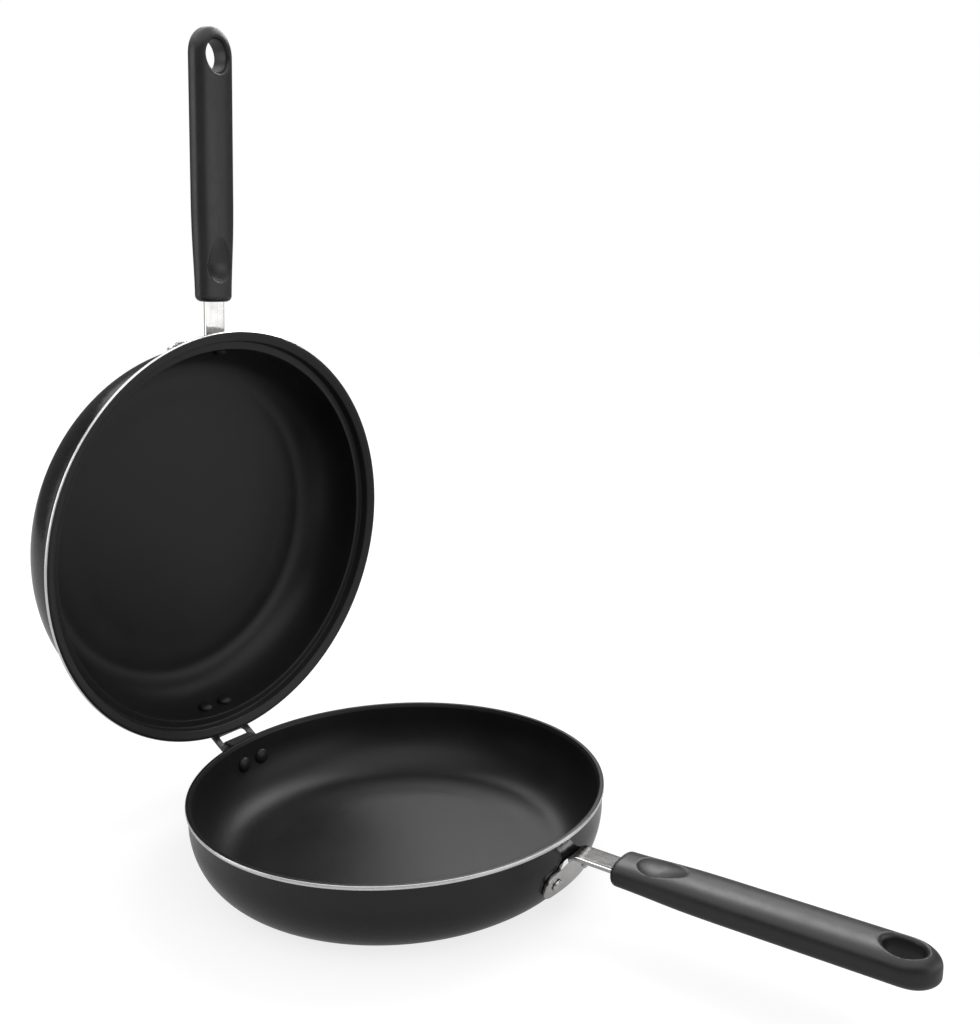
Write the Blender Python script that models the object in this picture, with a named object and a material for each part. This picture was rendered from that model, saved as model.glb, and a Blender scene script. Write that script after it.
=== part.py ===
"""Double sided flip pan: two round pans hinged opposite their handles, standing open.

Lengths are metres, +Z is up. The origin is the middle of the lower pan's underside, its handle
points along +X and the hinge axis runs along Y behind the pan. Each pan is described in its own
pan frame: the middle of its rim is the origin, the bowl hangs below and the handle points to +X.
"""
import math

import bmesh
import bpy
from mathutils import Matrix, Vector

# Shared sizes
gap = 0.0003
overrun = 0.004
wall = 0.0024
floor_thickness = 0.0034
edge_band = 0.0024
edge_round = 0.0004
rim_land = 0.0014

# Lower pan, whose rim the other sizes across follow
lower_rim_radius = 0.1200
lower_height = 0.0445
lower_wall_radius = lower_rim_radius - edge_band / 2
lower_foot_run = 0.0258
lower_base_radius = lower_wall_radius - lower_foot_run
lower_corner_rise = 0.0330

# Upper pan, whose stepped collar sits over the lower rim: a ledge on the rim, a band round it, then a lip
ledge_hold = 0.0007
ledge_play = 0.0040
band_draft = 0.0007
lip_width = 0.0069
ledge_inner_radius = lower_rim_radius - ledge_hold
ledge_outer_radius = lower_rim_radius + ledge_play
upper_rim_radius = ledge_outer_radius + lip_width
ledge_depth = 0.0073
lip_depth = 0.0021
upper_height = 0.0510
upper_wall_radius = ledge_inner_radius + wall
upper_foot_run = 0.0222
upper_base_radius = upper_wall_radius - upper_foot_run
upper_corner_rise = 0.0360

# Inside of both pans
floor_step_inset = 0.0045
floor_step = 0.0006
pan_segments = 56
corner_points = 6

# Hinge axis, behind the collar and below the lower rim, and how far the upper pan stands open
hinge_stand_off = 0.00714
hinge_reach = upper_rim_radius + hinge_stand_off
hinge_drop = 0.01074
open_angle = math.radians(84.1)

# Hinge plates
hinge_plate_half_width = 0.0146
hook_half_width = 0.0098
hook_thickness = 0.0017
loop_thickness = 0.0018
pivot_bar_radius = 0.0018
pivot_clearance = 0.00035
hook_curl_sweep = math.radians(285.0)
hook_shoulder_reach = 0.0076
hook_bend_radius = 0.0022
hook_base_foot = 0.0064
hook_base_half_width = 0.0191
hook_base_aside = 0.0045
hook_lip_clearance = 0.0002
loop_strap_length = 0.0114
loop_strap_angle = math.radians(60.9)
loop_heel_length = 0.0092
loop_base_top = 0.0150
loop_base_length = 0.0135
window_side_clearance = 0.0008
window_length = 0.0082
hinge_rivet_half_spacing = 0.0080
lower_hinge_rivet_drop = 0.0146
lower_hinge_rivet_aside = 0.0091
upper_hinge_rivet_drop = 0.0200

# Rivets
head_stand = 0.0009
hinge_shank_radius = 0.0024
hinge_head_radius = 0.0048
hinge_head_rise = 0.0026
hinge_tail_radius = 0.0042
hinge_tail_rise = 0.0014
bracket_shank_radius = 0.0022
bracket_head_radius = 0.0042
bracket_head_rise = 0.0018
bracket_tail_radius = 0.0036
bracket_tail_rise = 0.0013

# Handle brackets
bracket_thickness = 0.0021
ear_half_width = 0.0228
ear_bottom_drop = 0.0305
ear_top_drop = 0.0158
ear_rivet_half_spacing = 0.0142
ear_rivet_drop = 0.0232
ear_outline_shares = (
    (0.00, 0.66),
    (0.05, 0.80),
    (0.13, 0.90),
    (0.28, 0.98),
    (0.46, 1.00),
    (0.66, 0.985),
    (0.80, 0.93),
    (0.90, 0.84),
    (0.96, 0.72),
    (1.00, 0.57),
)
strap_half_width = 0.0070
strap_bend_radius = 0.0048
strap_drop = 0.0098
strap_slope = math.radians(1.6)
tang_drop = 0.0114
upper_handle_shift = 0.0099
upper_handle_tilt = math.radians(1.0)
tang_length = 0.0240

# Grips
strap_run = 0.0201
grip_root_reach = upper_wall_radius + strap_bend_radius + strap_run
grip_length = 0.1556
grip_root_drop = 0.0117
grip_tip_drop = 0.0125
grip_half_width = 0.0134
grip_root_half_width = 0.0119
grip_half_thickness = 0.0081
grip_root_half_thickness = 0.0068
grip_widen_share = 0.38
grip_thicken_share = 0.28
grip_root_round = 0.0036
grip_tip_reach = 0.0165
grip_tip_round = 0.0120
grip_tip_edge_share = 0.30
grip_section_power = 2.7
grip_segments = 24
hang_hole_from_tip = 0.0163
hang_hole_half_length = 0.0090
hang_hole_half_width = 0.0075
hang_hole_flare = 0.0014
scoop_from_root = 0.0108
scoop_length = 0.0290
scoop_half_width = 0.0100
scoop_depth = 0.0036
scoop_above = 0.0008
scoop_outline_shares = (
    (0.00, 0.20, 0.00),
    (0.03, 0.50, 0.42),
    (0.09, 0.76, 0.80),
    (0.19, 0.94, 1.00),
    (0.32, 1.00, 1.00),
    (0.48, 0.95, 0.84),
    (0.64, 0.84, 0.60),
    (0.78, 0.69, 0.34),
    (0.90, 0.50, 0.10),
    (1.00, 0.30, -0.15),
)

# Handle screws with their lock washers
screw_from_root = 0.0092
screw_head_radius = 0.0036
screw_head_height = 0.0024
screw_shank_radius = 0.0019
screw_pocket_radius = 0.0046
screw_pocket_depth = 0.0038
screw_tip_above_tang = 0.0012
washer_radius = 0.0041
washer_hole_radius = 0.0023
washer_thickness = 0.0009

round_segments = 16


class Pan:
    """Outside and inside outline of one pan in its pan frame, where z is minus the drop below the rim."""

    def __init__(self, height, base_radius, wall_radius, corner_rise):
        self.height = height
        self.base_radius = base_radius
        self.wall_radius = wall_radius
        self.corner_rise = corner_rise

    def outer_corner(self):
        """Points from the edge of the flat base up round the corner to the wall."""
        run = self.wall_radius - self.base_radius
        return corner(self.base_radius, run, -self.height, self.corner_rise)

    def inner_corner(self):
        """The same corner inside, a wall and a floor thickness further in."""
        inner_base = self.base_radius - wall
        run = self.wall_radius - wall - inner_base
        return corner(inner_base, run, -self.height + floor_thickness, self.corner_rise - floor_thickness / 2)

    def outer_radius(self, drop):
        """Radius of the outside at a drop below the rim."""
        return quarter_radius(self.base_radius, self.wall_radius, self.corner_rise, self.height - drop)

    def inner_radius(self, drop):
        """Radius of the inside at a drop below the rim."""
        rise = self.corner_rise - floor_thickness / 2
        height = self.height - floor_thickness - drop
        return quarter_radius(self.base_radius - wall, self.wall_radius - wall, rise, height)

    def lean(self, drop):
        """Angle by which the outside leans outward from the vertical at that drop."""
        step = edge_round
        run = self.outer_radius(drop - step) - self.outer_radius(drop + step)
        return math.atan2(run, 2 * step)

    def wall_depth(self, drop):
        """Thickness of the wall along its own normal at that drop."""
        lean = self.lean(drop)
        depth = wall
        for _ in range(round_segments):
            inside = self.inner_radius(drop - depth * math.sin(lean))
            depth = (self.outer_radius(drop) - inside) / math.cos(lean)
        return depth

    def seat(self, across, drop, out=0.0):
        """Matrix on the outer wall, +Z along its outward normal, at a place across and below the rim."""
        radius = self.outer_radius(drop)
        turn = Matrix.Rotation(math.asin(across / radius), 4, "Z")
        tilt = Matrix.Rotation(math.pi / 2 + self.lean(drop), 4, "Y")
        return turn @ Matrix.Translation((radius, 0, -drop)) @ tilt @ Matrix.Translation((0, 0, out))


def quarter_radius(base_radius, wall_radius, rise, height):
    """Radius at a height above the floor of a wall whose foot is a quarter ellipse."""
    if height >= rise:
        return wall_radius
    share = 1 - max(height, 0.0) / rise
    return base_radius + (wall_radius - base_radius) * math.sqrt(1 - share * share)


def corner(base_radius, run, base_z, rise):
    """Quarter ellipse from the base edge up to the wall, as (radius, z) points."""
    points = []
    for step in range(corner_points + 1):
        angle = math.pi / 2 * step / corner_points
        points.append((base_radius + run * math.sin(angle), base_z + rise * (1 - math.cos(angle))))
    return points


lower = Pan(lower_height, lower_base_radius, lower_wall_radius, lower_corner_rise)
upper = Pan(upper_height, upper_base_radius, upper_wall_radius, upper_corner_rise)


def clear_scene():
    """Removes what the scene holds."""
    for item in list(bpy.data.objects):
        bpy.data.objects.remove(item, do_unlink=True)


def material(name, colour, roughness, metallic):
    """A Principled material of one colour."""
    made = bpy.data.materials.new(name)
    made.use_nodes = True
    shader = made.node_tree.nodes["Principled BSDF"]
    shader.inputs["Base Color"].default_value = (*colour, 1)
    shader.inputs["Roughness"].default_value = roughness
    shader.inputs["Metallic"].default_value = metallic
    made.diffuse_color = (*colour, 1)
    return made


def add_object(name, mesh_maker, finish, side, place=None):
    """Makes a named object from a bmesh, in a pan frame, with its material."""
    bm = bmesh.new()
    mesh_maker(bm)
    bmesh.ops.recalc_face_normals(bm, faces=bm.faces)
    mesh = bpy.data.meshes.new(name)
    bm.to_mesh(mesh)
    bm.free()
    mesh.shade_smooth()
    mesh.set_sharp_from_angle(angle=math.radians(32.0))
    if finish:
        mesh.materials.append(finish)
    item = bpy.data.objects.new(name, mesh)
    bpy.context.scene.collection.objects.link(item)
    item.parent = side["pivot"]
    item.matrix_local = side["frame"] @ (place or Matrix.Identity(4))
    return item


def hidden_tool(name, mesh_maker, side, place=None):
    """A cutter: the build and a render leave it out."""
    tool = add_object(name, mesh_maker, None, side, place)
    tool.hide_render = True
    tool.display_type = "WIRE"
    return tool


def cut(item, tool):
    """Takes a cutter's shape out of a piece."""
    step = item.modifiers.new("cut_" + tool.name, "BOOLEAN")
    step.operation = "DIFFERENCE"
    step.solver = "EXACT"
    step.object = tool


def turned(bm, outline, segments):
    """Turns an outline of (radius, z) points about Z into a closed body."""
    verts = [bm.verts.new((radius, 0, z)) for radius, z in outline]
    edges = [bm.edges.new(pair) for pair in zip(verts, verts[1:])]
    bmesh.ops.spin(
        bm,
        geom=verts + edges,
        cent=(0, 0, 0),
        axis=(0, 0, 1),
        angle=2 * math.pi,
        steps=segments,
        use_merge=True,
    )
    bmesh.ops.remove_doubles(bm, verts=bm.verts, dist=edge_round / 100)


def box(bm, size, centre):
    """A box of three side lengths about its centre."""
    place = Matrix.Translation(centre) @ Matrix.Diagonal((*size, 1))
    bmesh.ops.create_cube(bm, size=1, matrix=place)


def rod(bm, radius, bottom, top, segments=round_segments):
    """A round rod along Z from bottom to top."""
    outline = [(0, bottom), (radius, bottom), (radius, top), (0, top)]
    turned(bm, outline, segments)


def loft(bm, rings, segments):
    """Joins rings, each a function from an angle to a point, and closes both ends."""
    loops = []
    for ring in rings:
        made = bmesh.ops.create_circle(bm, segments=segments, radius=1)
        for vert in made["verts"]:
            vert.co = ring(math.atan2(vert.co.y, vert.co.x))
        loops.append(list({edge for vert in made["verts"] for edge in vert.link_edges}))
    for first, second in zip(loops, loops[1:]):
        bmesh.ops.bridge_loops(bm, edges=first + second)
    for loop in (loops[0], loops[-1]):
        bmesh.ops.contextual_create(bm, geom=loop)


def bent_strip(bm, path, columns, wall_radius):
    """A sheet that follows rows of (reach, z, half width, hug) and a shift aside; hug 1 follows the round wall."""
    rows = len(path)
    made = bmesh.ops.create_grid(bm, x_segments=rows - 1, y_segments=columns, size=1)
    for vert in made["verts"]:
        row = round((vert.co.x + 1) / 2 * (rows - 1))
        reach, z, half_width, hug, *aside = path[row]
        across = vert.co.y * half_width + sum(aside)
        sag = wall_radius - math.sqrt(wall_radius ** 2 - across ** 2)
        vert.co = Vector((reach - sag * hug, across, z))


def thicken(item, thickness):
    """Gives a sheet its thickness, half to each side."""
    step = item.modifiers.new("sheet_thickness", "SOLIDIFY")
    step.thickness = thickness
    step.offset = 0
    step.use_even_offset = True


def smooth_step(share):
    """Eases a share from 0 to 1."""
    share = min(max(share, 0.0), 1.0)
    return share * share * (3 - 2 * share)


def floor_outline(pan):
    """Inside points of the floor, from its step to the middle."""
    floor_z = -pan.height + floor_thickness
    step_radius = pan.base_radius - wall - floor_step_inset
    return [(step_radius, floor_z), (step_radius - floor_step, floor_z - floor_step), (0, floor_z - floor_step)]


def rim_outline(radius, land):
    """The turned bare edge of a rim: up its outer face, over the top and into the bowl."""
    return [
        (radius, -edge_band + edge_round),
        (radius, -edge_round),
        (radius - edge_round, 0),
        (radius - land, 0),
        (radius - land - edge_round, -edge_round),
    ]


def lower_pan_shape(bm):
    """The lower pan, a pressed dish with a turned edge."""
    outline = [(0, -lower.height)] + lower.outer_corner()
    outline.append((lower.wall_radius, -edge_band))
    outline += rim_outline(lower_rim_radius, wall - edge_round)
    outline.append((lower.wall_radius - wall, -edge_band))
    outline += list(reversed(lower.inner_corner())) + floor_outline(lower)
    turned(bm, outline, pan_segments)


def upper_pan_shape(bm):
    """The upper pan, whose rim steps out into a collar over the lower rim."""
    ledge_back = -ledge_depth - wall
    outline = [(0, -upper.height)] + upper.outer_corner()
    outline.append((upper.wall_radius, ledge_back))
    outline.append((ledge_outer_radius + wall - edge_round, ledge_back))
    outline.append((ledge_outer_radius + wall, ledge_back + edge_round))
    outline.append((ledge_outer_radius + wall + band_draft, -lip_depth - wall))
    outline.append((upper_rim_radius - edge_round, -edge_band))
    outline += rim_outline(upper_rim_radius, rim_land)
    outline.append((ledge_outer_radius + band_draft, -lip_depth))
    outline.append((ledge_outer_radius, -ledge_depth))
    outline.append((ledge_inner_radius + edge_round * 2, -ledge_depth))
    outline.append((ledge_inner_radius, -ledge_depth - edge_round * 2))
    outline += list(reversed(upper.inner_corner())) + floor_outline(upper)
    turned(bm, outline, pan_segments)


def dome(radius, rise, foot, count=4):
    """Outline points of a domed head from its middle down to its rim at foot, above it by rise."""
    points = []
    for step in range(count + 1):
        angle = math.pi / 2 * step / count
        points.append((radius * math.sin(angle), foot + rise * math.cos(angle)))
    return points


def rivet_shape(shank_radius, grip_depth, head, tail):
    """A rivet along Z: its domed head below, inside the bowl, and its set tail above, outside."""

    def shape(bm):
        head_radius, head_rise = head
        tail_radius, tail_rise = tail
        inner = [(radius, -z) for radius, z in dome(head_radius, head_rise, 0)]
        outer = [(radius, grip_depth + z) for radius, z in dome(tail_radius, tail_rise, 0, 3)]
        outline = inner + [(shank_radius, 0), (shank_radius, grip_depth)] + list(reversed(outer))
        turned(bm, outline, round_segments)

    return shape


def add_rivets(pan, side, names, aside, across, drop, plate, sizes, pierced):
    """Sets a pair of rivets through the wall and a plate, and drills the pieces that they pierce."""
    shank_radius, head, tail = sizes
    wall_depth = pan.wall_depth(drop)
    depth = head_stand + wall_depth + gap + plate + gap
    for name, place in zip(names, (aside - across, aside + across)):
        seat = pan.seat(place, drop, -wall_depth - head_stand)
        add_object(name, rivet_shape(shank_radius, depth, head, tail), steel, side, seat)

        def hole(bm):
            rod(bm, shank_radius + gap, -overrun, depth + overrun)

        drill = hidden_tool("hole_for_" + name, hole, side, seat)
        for item in pierced:
            cut(item, drill)


def hook_shoulder_z():
    """Height of the middle of the hook's shoulders, which pass just under the closed upper pan's lip."""
    return -ledge_depth - hook_lip_clearance - hook_thickness / 2


def hinge_hook_path():
    """Side view of the lower hinge plate: up the wall, out under the collar and round the pivot bar."""
    centre_x = hinge_reach
    centre_z = -hinge_drop
    curl = pivot_bar_radius + pivot_clearance + hook_thickness / 2
    clear = gap + hook_thickness / 2
    foot = lower_hinge_rivet_drop + hook_base_foot
    shoulder_z = hook_shoulder_z()
    shoulder_drop = hook_bend_radius - shoulder_z
    path = []
    for share in (0, 0.25, 0.5, 0.75, 1):
        drop = foot + (shoulder_drop - foot) * share
        lean = lower.lean(drop)
        reach = lower.outer_radius(drop) + clear * math.cos(lean)
        path.append((reach, -drop - clear * math.sin(lean), hook_base_half_width, 1, -hook_base_aside))
    for step in range(1, 5):
        angle = math.pi / 2 * step / 4
        reach = lower.wall_radius + clear + hook_bend_radius * (1 - math.cos(angle))
        z = shoulder_z - hook_bend_radius * (1 - math.sin(angle))
        left = 1 - step / 4
        half_width = hinge_plate_half_width + (hook_base_half_width - hinge_plate_half_width) * left
        path.append((reach, z, half_width, left, -hook_base_aside * left))
    shoulder = centre_x - hook_shoulder_reach
    path.append((shoulder, shoulder_z, hinge_plate_half_width, 0))
    path.append((shoulder + edge_round, shoulder_z, hook_half_width, 0))
    steps = 12
    for step in range(steps + 1):
        angle = math.pi / 2 - hook_curl_sweep * step / steps
        path.append((centre_x + curl * math.cos(angle), centre_z + curl * math.sin(angle), hook_half_width, 0))
    return path


def opposite(path):
    """Turns a path of rows from the handle side to the hinge side."""
    return [(-reach, z, half_width, -hug, *aside) for reach, z, half_width, hug, *aside in path]


def add_lower_hinge_hook(side):
    """The hook plate, which wraps the pivot bar of the upper plate."""

    def shape(bm):
        bent_strip(bm, opposite(hinge_hook_path()), 6, lower.wall_radius)

    item = add_object("lower_hinge_hook", shape, hinge_steel, side)
    thicken(item, hook_thickness)
    return item


def heel_angle():
    """Closed-pose angle of the heel, which meets the underside of the hook's shoulders when fully open."""
    shoulder_underside = hook_shoulder_z() - hook_thickness / 2 + hinge_drop
    rise = shoulder_underside - gap - loop_thickness / 2
    return math.asin(rise / loop_heel_length) - open_angle


def loop_pivot():
    """Place of the hinge axis in the upper pan's frame, as reach and z."""
    return hinge_reach, hinge_drop - ledge_depth + gap


def loop_point(angle, length):
    """Point at a closed-pose angle and length from the hinge axis, in the upper pan's frame."""
    reach, z = loop_pivot()
    return reach - length * math.cos(angle), z - length * math.sin(angle)


def hinge_loop_path():
    """Side view of the upper hinge plate: heel, pivot bar, strap past the collar, and base on the wall."""
    path = []
    for share in (1, 0.5):
        path.append((*loop_point(heel_angle(), loop_heel_length * share), hinge_plate_half_width, 0))
    for share in (0, 0.5, 1):
        path.append((*loop_point(loop_strap_angle, loop_strap_length * share), hinge_plate_half_width, 0))
    stand = gap + loop_thickness / 2
    for share in (0, 0.5, 1):
        drop = loop_base_top + loop_base_length * share
        lean = upper.lean(drop)
        reach = upper.outer_radius(drop) + stand * math.cos(lean)
        path.append((reach, -drop - stand * math.sin(lean), hinge_plate_half_width, 1))
    return path


def add_upper_hinge_loop(side):
    """The loop plate, whose window holds the hook and whose bar is the pivot."""

    def shape(bm):
        bent_strip(bm, opposite(hinge_loop_path()), 6, upper.wall_radius)

    item = add_object("upper_hinge_loop", shape, hinge_steel, side)
    thicken(item, loop_thickness)
    reach, z = loop_pivot()
    pivot = Matrix.Translation((-reach, 0, z))
    along = pivot @ Matrix.Rotation(math.pi / 2, 4, "X")

    def bar(bm):
        half = hinge_plate_half_width - edge_round
        rod(bm, pivot_bar_radius, -half, half)

    join = item.modifiers.new("pivot_bar", "BOOLEAN")
    join.operation = "UNION"
    join.solver = "EXACT"
    join.object = hidden_tool("guide_pivot_bar", bar, side, along)
    opening = 2 * (hook_half_width + window_side_clearance)
    for name, angle, length in (
        ("window", loop_strap_angle, window_length),
        ("notch", heel_angle(), loop_heel_length + overrun),
    ):

        def gap_box(bm, length=length):
            start = pivot_bar_radius
            box(bm, (length, opening, 2 * overrun), (start + length / 2, 0, 0))

        turn = Matrix.Rotation(angle, 4, "Y")
        tool = hidden_tool("cut_hinge_" + name, gap_box, side, pivot @ turn)
        cut(item, tool)
    return item


def bracket_path(pan, shift, tilt):
    """Side view of a bracket in its handle's frame: up the wall, round the bend and out to the tang."""
    stand = gap + bracket_thickness / 2
    path = []
    for rise_share, width_share in ear_outline_shares:
        drop = ear_bottom_drop - (ear_bottom_drop - ear_top_drop) * rise_share
        lean = pan.lean(drop + shift)
        reach = pan.outer_radius(drop + shift) + stand * math.cos(lean)
        path.append((reach, -drop - stand * math.sin(lean), ear_half_width * width_share, 1))
    start = path[-1]
    centre_x = start[0] + strap_bend_radius
    centre_z = -strap_drop - bracket_thickness / 2 - strap_bend_radius
    steps = 6
    for step in range(steps + 1):
        share = step / steps
        angle = math.pi - (math.pi / 2 + strap_slope) * share
        reach = centre_x + strap_bend_radius * math.cos(angle)
        z = centre_z + strap_bend_radius * math.sin(angle)
        half_width = start[2] + (strap_half_width - start[2]) * smooth_step(share * 2)
        path.append((reach, z, half_width, 1 - share))
    for share in (-gap / tang_length, 0.5, 1):
        along = tang_length * share
        place = (grip_root_reach + along * math.cos(tilt), -tang_drop - along * math.sin(tilt))
        path.append((*place, strap_half_width, 0))
    return path


def add_bracket(name, pan, side, shift, tilt):
    """A handle bracket: an ear plate curved to the wall and a strap that ends in the grip."""

    def shape(bm):
        bent_strip(bm, bracket_path(pan, shift, tilt), 8, pan.wall_radius)

    item = add_object(name, shape, steel, side)
    thicken(item, bracket_thickness)
    return item


def grip_size(along):
    """Half width and half thickness of a grip at a distance from its root, before its ends are rounded."""
    share = along / grip_length
    widen = smooth_step(share / grip_widen_share)
    thicken_by = smooth_step(share / grip_thicken_share)
    half_width = grip_root_half_width + (grip_half_width - grip_root_half_width) * widen
    half_thickness = grip_root_half_thickness + (grip_half_thickness - grip_root_half_thickness) * thicken_by
    return half_width, half_thickness


def grip_drop(along):
    """Drop of the grip's middle below the rim at a distance from its root."""
    return grip_root_drop + (grip_tip_drop - grip_root_drop) * along / grip_length


def grip_stations():
    """Distance, half width and half thickness of each section of a grip."""
    stations = []
    for step in range(4):
        angle = math.pi / 2 * step / 3
        along = grip_root_round * (1 - math.cos(angle))
        trim = grip_root_round * (1 - math.sin(angle))
        half_width, half_thickness = grip_size(along)
        stations.append((along, half_width - trim, half_thickness - trim))
    middle = 8
    straight_end = grip_length - grip_tip_reach
    for step in range(1, middle):
        along = grip_root_round + (straight_end - grip_root_round) * step / middle
        stations.append((along, *grip_size(along)))
    tip_steps = 8
    for step in range(tip_steps):
        angle = math.pi / 2 * step / tip_steps
        along = straight_end + grip_tip_reach * math.sin(angle)
        closeness = 1 - min((grip_length - along) / grip_tip_round, 1.0)
        fullness = grip_tip_edge_share + (1 - grip_tip_edge_share) * math.sqrt(1 - closeness ** 2)
        stations.append((along, grip_half_width * math.cos(angle), grip_half_thickness * fullness))
    return stations


def rounded_ring(reach, middle_z, half_width, half_thickness):
    """A soft rounded rectangle across the grip, as a function of the angle round it."""

    def point(angle):
        power = 2 / grip_section_power
        side_share = math.copysign(abs(math.cos(angle)) ** power, math.cos(angle))
        top_share = math.copysign(abs(math.sin(angle)) ** power, math.sin(angle))
        return Vector((reach, half_width * side_share, middle_z + half_thickness * top_share))

    return point


def grip_shape(bm):
    """The plain moulded grip before its hole, scoop and socket are taken out."""
    rings = []
    for along, half_width, half_thickness in grip_stations():
        rings.append(rounded_ring(grip_root_reach + along, -grip_drop(along), half_width, half_thickness))
    loft(bm, rings, grip_segments)


def hang_hole_shape(bm):
    """Cutter of the hang hole, an oval that flares out at both faces."""
    along = grip_length - hang_hole_from_tip
    middle = -grip_drop(along)
    rings = []
    for z_share, flare in ((-1.5, 1), (-1.0, 1), (-0.82, 0), (0.82, 0), (1.0, 1), (1.5, 1)):

        def ring(angle, z_share=z_share, flare=flare):
            half_length = hang_hole_half_length + hang_hole_flare * flare
            half_width = hang_hole_half_width + hang_hole_flare * flare
            x = grip_root_reach + along + half_length * math.cos(angle)
            return Vector((x, half_width * math.sin(angle), middle + grip_half_thickness * z_share))

        rings.append(ring)
    loft(bm, rings, 20)


def scoop_shape(bm):
    """Cutter of the thumb scoop: steep and round near the root, running out flat towards the tip."""
    rings = []
    for along_share, width_share, depth_share in scoop_outline_shares:
        along = scoop_from_root + scoop_length * along_share
        top = -grip_drop(along) + grip_size(along)[1]

        def ring(angle, along=along, top=top, width_share=width_share, depth_share=depth_share):
            half_width = scoop_half_width * width_share
            half_height = scoop_above + scoop_depth * depth_share
            half_height = max(half_height, scoop_above / 2)
            if angle > 0:
                half_height = 2 * scoop_above + scoop_depth
            y = half_width * math.cos(angle)
            return Vector((grip_root_reach + along, y, top + scoop_above + half_height * math.sin(angle)))

        rings.append(ring)
    loft(bm, rings, 20)


def socket_shape(bm):
    """Cutter of the socket that takes the tang."""
    depth = tang_length + gap
    size = (depth + overrun, 2 * (strap_half_width + gap), bracket_thickness + 2 * gap)
    box(bm, size, (grip_root_reach + (depth - overrun) / 2, 0, -tang_drop))


def screw_seat():
    """Height of the face that a screw's washer bears on, in the pan frame."""
    bottom = -grip_drop(screw_from_root) - grip_size(screw_from_root)[1]
    return bottom + screw_pocket_depth


def screw_pocket_shape(bm):
    """Cutter of the screw's pocket and of its bore, up past the tang."""
    seat = screw_seat()
    tip = -tang_drop + bracket_thickness / 2 + screw_tip_above_tang
    outline = [
        (0, seat - screw_pocket_depth - overrun),
        (screw_pocket_radius, seat - screw_pocket_depth - overrun),
        (screw_pocket_radius, seat),
        (screw_shank_radius + gap, seat),
        (screw_shank_radius + gap, tip + gap),
        (0, tip + gap),
    ]
    turned(bm, outline, round_segments)


def screw_shape(bm):
    """A pan head screw, its head down."""
    under_head = screw_seat() - washer_thickness - 2 * gap
    tip = -tang_drop + bracket_thickness / 2 + screw_tip_above_tang
    head = [(r, -z) for r, z in dome(screw_head_radius, screw_head_height * 0.6, screw_head_height * 0.4)]
    outline = [(r, under_head + z) for r, z in head]
    outline.append((screw_head_radius, under_head))
    outline.append((screw_shank_radius, under_head))
    outline.append((screw_shank_radius, tip - edge_round))
    outline.append((screw_shank_radius - edge_round, tip))
    outline.append((0, tip))
    turned(bm, outline, round_segments)


def washer_shape(bm):
    """A lock washer ring under the screw's head."""
    top = screw_seat() - gap
    bottom = top - washer_thickness
    outline = [
        (washer_hole_radius, bottom),
        (washer_radius, bottom),
        (washer_radius, top),
        (washer_hole_radius, top),
        (washer_hole_radius, bottom),
    ]
    turned(bm, outline, round_segments)


def add_handle(side, prefix, bracket):
    """The grip with its hole, scoop, socket and screw."""
    grip = add_object(prefix + "_handle_grip", grip_shape, bakelite, side)
    at_screw = Matrix.Translation((grip_root_reach + screw_from_root, 0, 0))
    cut(grip, hidden_tool(prefix + "_cut_hang_hole", hang_hole_shape, side))
    cut(grip, hidden_tool(prefix + "_cut_scoop", scoop_shape, side))
    cut(grip, hidden_tool(prefix + "_cut_socket", socket_shape, side))
    pocket = hidden_tool(prefix + "_cut_screw_pocket", screw_pocket_shape, side, at_screw)
    cut(grip, pocket)
    cut(bracket, pocket)
    add_object(prefix + "_handle_screw", screw_shape, steel, side, at_screw)
    add_object(prefix + "_handle_lock_washer", washer_shape, steel, side, at_screw)


def tilted(frame, tilt):
    """A handle's frame turned down about the middle of its tang's root."""
    root = Matrix.Translation((grip_root_reach, 0, -tang_drop))
    return frame @ root @ Matrix.Rotation(tilt, 4, "Y") @ root.inverted()


def add_pan(prefix, pan, side, shape, hinge_plate, plate_thickness, hinge_rivet, shift, tilt):
    """One pan with its hinge plate, and its handle set lower on the wall by a shift and turned by a tilt."""
    body = add_object(prefix + "_pan", shape, coated, side)
    plate = hinge_plate(side)
    handle_side = {"pivot": side["pivot"], "frame": side["frame"] @ Matrix.Translation((0, 0, -shift))}
    bracket = add_bracket(prefix + "_handle_bracket", pan, handle_side, shift, tilt)
    behind = {"pivot": side["pivot"], "frame": side["frame"] @ Matrix.Rotation(math.pi, 4, "Z")}
    head = (hinge_head_radius, hinge_head_rise)
    tail = (hinge_tail_radius, hinge_tail_rise)
    names = (prefix + "_hinge_rivet_left", prefix + "_hinge_rivet_right")
    sizes = (hinge_shank_radius, head, tail)
    aside, drop = hinge_rivet
    add_rivets(pan, behind, names, aside, hinge_rivet_half_spacing, drop, plate_thickness, sizes, (body, plate))
    head = (bracket_head_radius, bracket_head_rise)
    tail = (bracket_tail_radius, bracket_tail_rise)
    names = (prefix + "_bracket_rivet_right", prefix + "_bracket_rivet_left")
    sizes = (bracket_shank_radius, head, tail)
    drop = ear_rivet_drop + shift
    add_rivets(pan, side, names, 0.0, ear_rivet_half_spacing, drop, bracket_thickness, sizes, (body, bracket))
    grip_side = {"pivot": side["pivot"], "frame": tilted(handle_side["frame"], tilt)}
    add_handle(grip_side, prefix, bracket)


def lower_side():
    """Frame of the lower pan, which stands on its base."""
    return {"pivot": None, "frame": Matrix.Translation((0, 0, lower_height))}


def upper_side():
    """Frame of the upper pan, turned over and hung on an empty at the hinge axis."""
    pivot = bpy.data.objects.new("upper_pan_pivot", None)
    bpy.context.scene.collection.objects.link(pivot)
    pivot.location = (-hinge_reach, 0, lower_height - hinge_drop)
    pivot.rotation_euler = (0, -open_angle, 0)
    shift = Matrix.Translation((hinge_reach, 0, hinge_drop - ledge_depth + gap))
    return {"pivot": pivot, "frame": shift @ Matrix.Rotation(math.pi, 4, "X")}


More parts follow.
